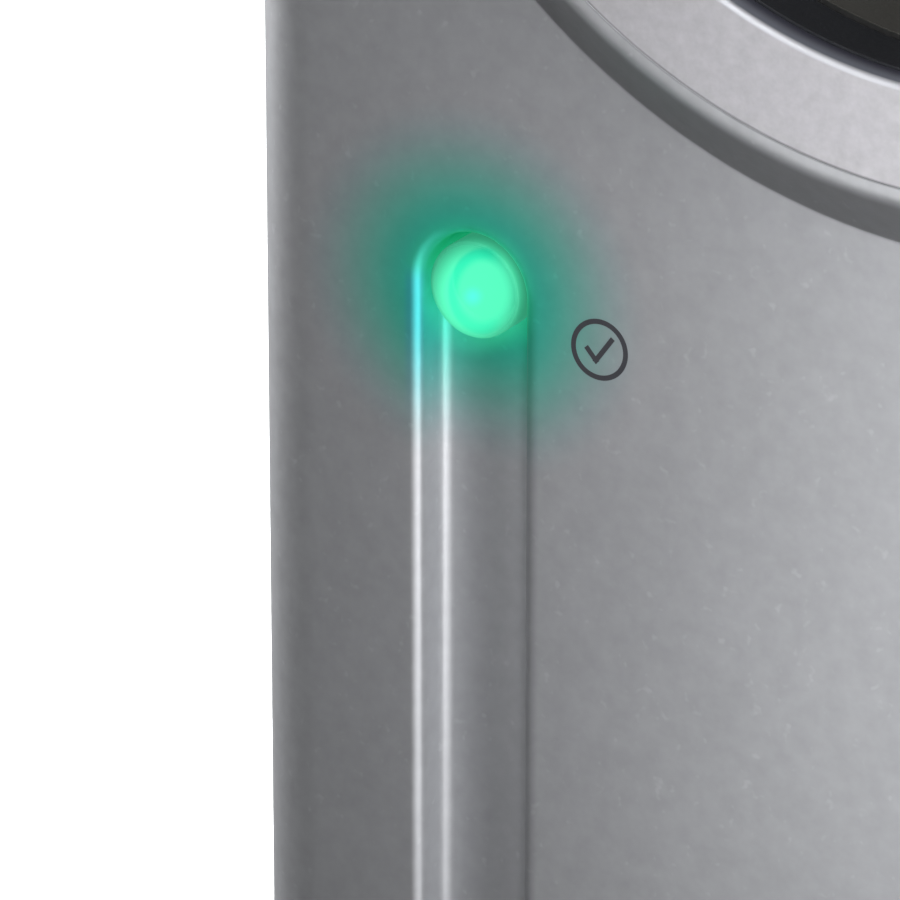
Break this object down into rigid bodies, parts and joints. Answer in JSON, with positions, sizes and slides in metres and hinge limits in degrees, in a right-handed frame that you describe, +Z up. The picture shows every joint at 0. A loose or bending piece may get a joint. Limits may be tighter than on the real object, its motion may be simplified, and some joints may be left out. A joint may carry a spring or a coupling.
{
  "type": "surge protection adapter",
  "caption": "Plug-in surge protection adapter: silver case with a round earthed socket in a raised collar, a groove with a green indicator light, and a round plug behind.",
  "frame": {"origin": "midway between the plug's pins, on the plug's mating face", "axes": "+Y along the pins into the wall, +Z up the wall, +X to the right as seen from the front"},
  "size_m": [0.0614, 0.079, 0.1147],
  "materials": {
    "silver_paint": "satin metallic silver paint",
    "graphite_plastic": "fine moulded texture",
    "black_plastic": "satin",
    "white_plastic": "smooth",
    "spring_wire": "drawn wire",
    "contact_brass": "stamped",
    "pin_nickel": "nickel plated",
    "strip_nickel": "nickel-plated spring strip",
    "lens_green": "clear, lit green",
    "led_green": "clear, lit green",
    "board_green": "solder mask",
    "white_ceramic": "smooth",
    "fuse_grey": "smooth",
    "capacitor_yellow": "smooth",
    "resistor_tan": "lacquered",
    "diode_black": "smooth",
    "wire_brown": "smooth insulation",
    "wire_blue": "smooth insulation",
    "wire_green": "smooth insulation",
    "varistor_blue": "dipped coating",
    "screw_zinc": "zinc plated"
  },
  "bodies": {
    "housing": {"front_shell": "silver_paint", "rear_shell": "graphite_plastic", "trim_ring": "silver_paint", "mouth_liner": "black_plastic", "socket_insert": "graphite_plastic", "contact_carrier": "black_plastic", "shutter_spring": "spring_wire", "line_contact": "contact_brass", "neutral_contact": "contact_brass", "line_bar": "contact_brass", "neutral_bar": "contact_brass", "line_pin": "pin_nickel", "neutral_pin": "pin_nickel", "earth_clip": "strip_nickel", "earth_strip": "strip_nickel", "earth_rivet": "contact_brass", "led_lens": "lens_green", "status_led": "led_green", "circuit_board": "board_green", "gas_tube": "white_ceramic", "thermal_fuse": "fuse_grey", "film_capacitor": "capacitor_yellow", "dropper_resistor": "resistor_tan", "bleed_resistor": "resistor_tan", "rectifier_diode": "diode_black", "line_wire": "wire_brown", "neutral_wire": "wire_blue", "earth_wire": "wire_green", "varistor_1": "varistor_blue", "varistor_2": "varistor_blue", "varistor_3": "varistor_blue", "case_screw_1": "screw_zinc", "case_screw_2": "screw_zinc", "case_screw_3": "screw_zinc", "case_screw_4": "screw_zinc", "insert_screw_1": "screw_zinc", "insert_screw_2": "screw_zinc", "carrier_screw_1": "screw_zinc", "carrier_screw_2": "screw_zinc", "board_screw_1": "screw_zinc", "board_screw_2": "screw_zinc", "board_screw_3": "screw_zinc"},
    "safety_shutter": {"shutter": "white_plastic"}
  },
  "joints": [
    {"name": "shutter_lift", "type": "slide", "parent": "housing", "child": "safety_shutter", "axis": [0, 0, 1], "range_m": [0, 0.0062], "stiffness_N_per_m": 120, "springref_m": -0.004, "deforming": ["shutter_spring"]}
  ]
}
